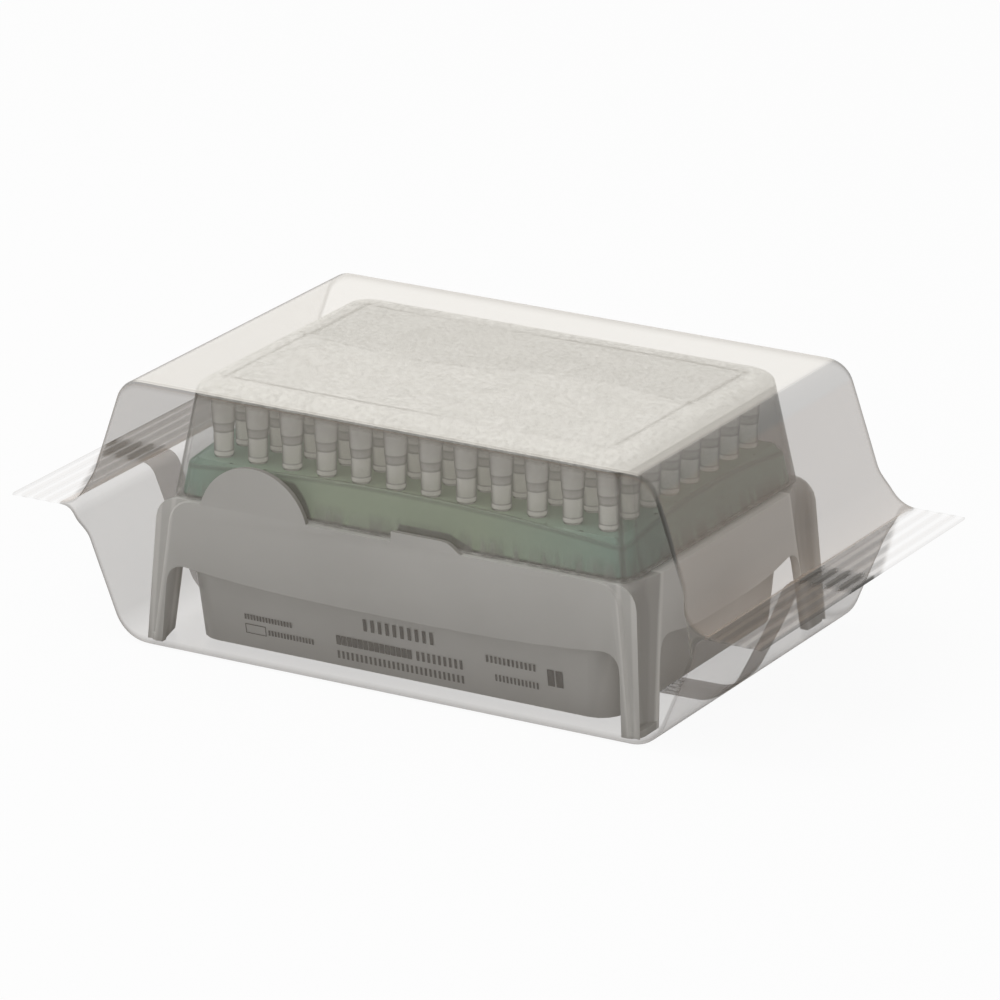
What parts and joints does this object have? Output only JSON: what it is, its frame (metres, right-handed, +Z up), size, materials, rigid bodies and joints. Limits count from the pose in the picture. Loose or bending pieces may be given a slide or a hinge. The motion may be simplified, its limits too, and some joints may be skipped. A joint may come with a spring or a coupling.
{
  "type": "box of pipette tips",
  "caption": "Rack of filtered pipette tips sealed in clear flow-wrap film: frosted hinged lid, green tip tray and smoky open-legged base.",
  "frame": {"origin": "bottom centre of the film wrap, on the surface it rests on", "axes": "+X along the rack to its right-hand end seal, +Y to the hinged back, +Z up; the round tab faces -Y"},
  "size_m": [0.192, 0.0956, 0.0624],
  "materials": {
    "clear_film": "clear polypropylene film, glossy",
    "smoky_plastic": "smoky translucent polypropylene, satin",
    "green_plastic": "green translucent polypropylene, satin",
    "clear_plastic": "frosted clear polypropylene, satin",
    "tip_plastic": "natural translucent polypropylene, satin"
  },
  "bodies": {
    "root": {"film_wrap": "clear_film", "base": "smoky_plastic", "tip_tray": "green_plastic", "lid": "clear_plastic", "tip_a1": "tip_plastic", "tip_a2": "tip_plastic", "tip_a3": "tip_plastic", "tip_a4": "tip_plastic", "tip_a5": "tip_plastic", "tip_a6": "tip_plastic", "tip_a7": "tip_plastic", "tip_a8": "tip_plastic", "tip_a9": "tip_plastic", "tip_a10": "tip_plastic", "tip_a11": "tip_plastic", "tip_a12": "tip_plastic", "tip_b1": "tip_plastic", "tip_b2": "tip_plastic", "tip_b3": "tip_plastic", "tip_b4": "tip_plastic", "tip_b5": "tip_plastic", "tip_b6": "tip_plastic", "tip_b7": "tip_plastic", "tip_b8": "tip_plastic", "tip_b9": "tip_plastic", "tip_b10": "tip_plastic", "tip_b11": "tip_plastic", "tip_b12": "tip_plastic", "tip_c1": "tip_plastic", "tip_c2": "tip_plastic", "tip_c3": "tip_plastic", "tip_c4": "tip_plastic", "tip_c5": "tip_plastic", "tip_c6": "tip_plastic", "tip_c7": "tip_plastic", "tip_c8": "tip_plastic", "tip_c9": "tip_plastic", "tip_c10": "tip_plastic", "tip_c11": "tip_plastic", "tip_c12": "tip_plastic", "tip_d1": "tip_plastic", "tip_d2": "tip_plastic", "tip_d3": "tip_plastic", "tip_d4": "tip_plastic", "tip_d5": "tip_plastic", "tip_d6": "tip_plastic", "tip_d7": "tip_plastic", "tip_d8": "tip_plastic", "tip_d9": "tip_plastic", "tip_d10": "tip_plastic", "tip_d11": "tip_plastic", "tip_d12": "tip_plastic"}
  },
  "joints": []
}
